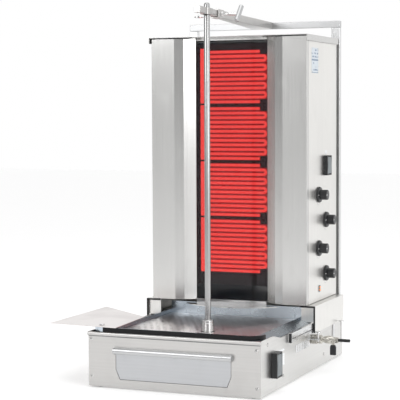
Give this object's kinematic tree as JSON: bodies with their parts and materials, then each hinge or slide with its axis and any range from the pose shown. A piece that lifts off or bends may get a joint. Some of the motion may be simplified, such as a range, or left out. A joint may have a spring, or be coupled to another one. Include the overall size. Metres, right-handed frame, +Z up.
{
  "type": "vertical rotisserie oven",
  "caption": "Free-standing electric vertical rotisserie oven with a sliding heater cabinet, a motor-driven upright spit, a drip pan and a fat drawer.",
  "frame": {"origin": "centre of the whole object's footprint, on the floor", "axes": "+Z up along the spit, +X to the right across the front, +Y from the front to the back"},
  "size_m": [0.825, 0.841, 1.1811],
  "materials": {
    "brushed_steel": "brushed stainless steel, fine straight grain",
    "polished_steel": "polished stainless steel",
    "cast_metal": "machined casting",
    "valve_metal": "nickel-plated brass, satin",
    "black_plastic": "satin moulded plastic",
    "dark_lip": "glossy black edging",
    "rubber": "matt black rubber",
    "grey_plastic": "satin grey moulded plastic",
    "motor_case": "grey paint",
    "lamp_amber": "clear amber lens",
    "insulation": "rough mineral board",
    "ceramic_glass": "dark smooth glass ceramic",
    "heating_element": "glowing red resistance element"
  },
  "bodies": {
    "base": {"base_shell": "brushed_steel", "front_panel": "brushed_steel", "drawer_cradle": "brushed_steel", "post_left": "brushed_steel", "post_right": "brushed_steel", "crossbar": "brushed_steel", "arm_sleeve": "brushed_steel", "rail_left": "brushed_steel", "rail_right": "brushed_steel", "drip_pan": "polished_steel", "strainer_plate": "polished_steel", "shelf_pivot": "polished_steel", "drive_housing": "cast_metal", "drive_cover": "cast_metal", "drain_valve": "valve_metal", "motor_switch_box": "black_plastic", "front_lip": "dark_lip", "foot_front_left": "rubber", "foot_front_right": "rubber", "foot_rear_left": "rubber", "foot_rear_right": "rubber", "drain_spout": "rubber", "drive_motor": "motor_case"},
    "heater_cabinet": {"saddle_left": "brushed_steel", "saddle_right": "brushed_steel", "edging_left": "rubber", "edging_right": "rubber", "wing_left": "brushed_steel", "wing_right": "brushed_steel", "control_panel": "brushed_steel", "side_panel_left": "brushed_steel", "back_panel": "brushed_steel", "roof_cap": "brushed_steel", "sill_strip": "polished_steel", "glass_front": "ceramic_glass", "heater_1": "heating_element", "heater_2": "heating_element", "heater_3": "heating_element", "heater_4": "heating_element", "insulation_board": "insulation", "indicator_lamp": "lamp_amber", "cabinet_switch_box": "black_plastic"},
    "knob_1": {"knob_1": "black_plastic"},
    "knob_2": {"knob_2": "black_plastic"},
    "knob_3": {"knob_3": "black_plastic"},
    "knob_4": {"knob_4": "black_plastic"},
    "cabinet_rocker": {"cabinet_rocker": "grey_plastic"},
    "motor_rocker": {"motor_rocker": "grey_plastic"},
    "spit": {"spit_rod": "brushed_steel", "drive_socket": "polished_steel", "drive_gear": "cast_metal"},
    "motor_pinion": {"motor_pinion": "cast_metal"},
    "fat_drawer": {"fat_drawer": "brushed_steel"},
    "side_shelf": {"side_shelf": "polished_steel"},
    "arm_bar": {"arm_bar": "polished_steel"},
    "arm_screw": {"arm_screw": "polished_steel"},
    "arm_clamp": {"arm_clamp_handle": "polished_steel"},
    "drain_lever": {"drain_lever": "black_plastic"},
    "lock_pin_front": {"lock_pin_front": "polished_steel"},
    "lock_pin_rear": {"lock_pin_rear": "polished_steel"}
  },
  "joints": [
    {"name": "cabinet_slide", "type": "slide", "parent": "base", "child": "heater_cabinet", "axis": [0, -1, 0], "range_m": [0, 0.11]},
    {"name": "knob_1_turn", "type": "hinge", "parent": "heater_cabinet", "child": "knob_1", "pos_m": [0.2755, 0.18347, 0.567], "axis": [-1, 0, 0], "range_deg": [0, 270]},
    {"name": "knob_2_turn", "type": "hinge", "parent": "heater_cabinet", "child": "knob_2", "pos_m": [0.2755, 0.26247, 0.48], "axis": [-1, 0, 0], "range_deg": [0, 270]},
    {"name": "knob_3_turn", "type": "hinge", "parent": "heater_cabinet", "child": "knob_3", "pos_m": [0.2755, 0.18347, 0.391], "axis": [-1, 0, 0], "range_deg": [0, 270]},
    {"name": "knob_4_turn", "type": "hinge", "parent": "heater_cabinet", "child": "knob_4", "pos_m": [0.2755, 0.26247, 0.301], "axis": [-1, 0, 0], "range_deg": [0, 270]},
    {"name": "cabinet_rocker_tilt", "type": "hinge", "parent": "heater_cabinet", "child": "cabinet_rocker", "pos_m": [0.2883, 0.26147, 0.661], "axis": [0, 1, 0], "range_deg": [-5, 5]},
    {"name": "motor_rocker_tilt", "type": "hinge", "parent": "base", "child": "motor_rocker", "pos_m": [0.3033, -0.28753, 0.085], "axis": [0, 1, 0], "range_deg": [-5, 5]},
    {"name": "spit_spin", "type": "hinge", "parent": "base", "child": "spit", "pos_m": [0.0055, -0.12053, 0.154], "axis": [0, 0, 1], "continuous": true},
    {"name": "pinion_spin", "type": "hinge", "parent": "base", "child": "motor_pinion", "pos_m": [0.0055, -0.06053, 0.093], "axis": [0, 0, 1], "continuous": true},
    {"name": "drawer_slide", "type": "slide", "parent": "base", "child": "fat_drawer", "axis": [0, -1, 0], "range_m": [0, 0.18]},
    {"name": "shelf_swing", "type": "hinge", "parent": "base", "child": "side_shelf", "pos_m": [-0.2425, -0.37453, 0.188], "axis": [0, 0, 1], "range_deg": [-35, 90]},
    {"name": "arm_bar_slide", "type": "slide", "parent": "base", "child": "arm_bar", "axis": [0, -0.9994, 0.034], "range_m": [-0.01, 0.01]},
    {"name": "arm_screw_turn", "type": "hinge", "parent": "arm_bar", "child": "arm_screw", "pos_m": [0.0055, -0.18551, 1.1313], "axis": [0, 0.034, 0.9994], "range_deg": [-180, 180]},
    {"name": "arm_clamp_turn", "type": "hinge", "parent": "base", "child": "arm_clamp", "pos_m": [0.0055, -0.03278, 1.15012], "axis": [1, 0, 0], "range_deg": [-180, 180]},
    {"name": "drain_lever_turn", "type": "hinge", "parent": "base", "child": "drain_lever", "pos_m": [0.3635, 0.06547, 0.107], "axis": [0, -1, 0], "range_deg": [0, 90]},
    {"name": "lock_pin_front_lift", "type": "slide", "parent": "base", "child": "lock_pin_front", "axis": [0, 0, 1], "range_m": [0, 0.015]},
    {"name": "lock_pin_rear_lift", "type": "slide", "parent": "base", "child": "lock_pin_rear", "axis": [0, 0, 1], "range_m": [0, 0.015]}
  ],
  "couplings": [
    {"joint": "pinion_spin", "follows": "spit_spin", "ratio": -4}
  ]
}
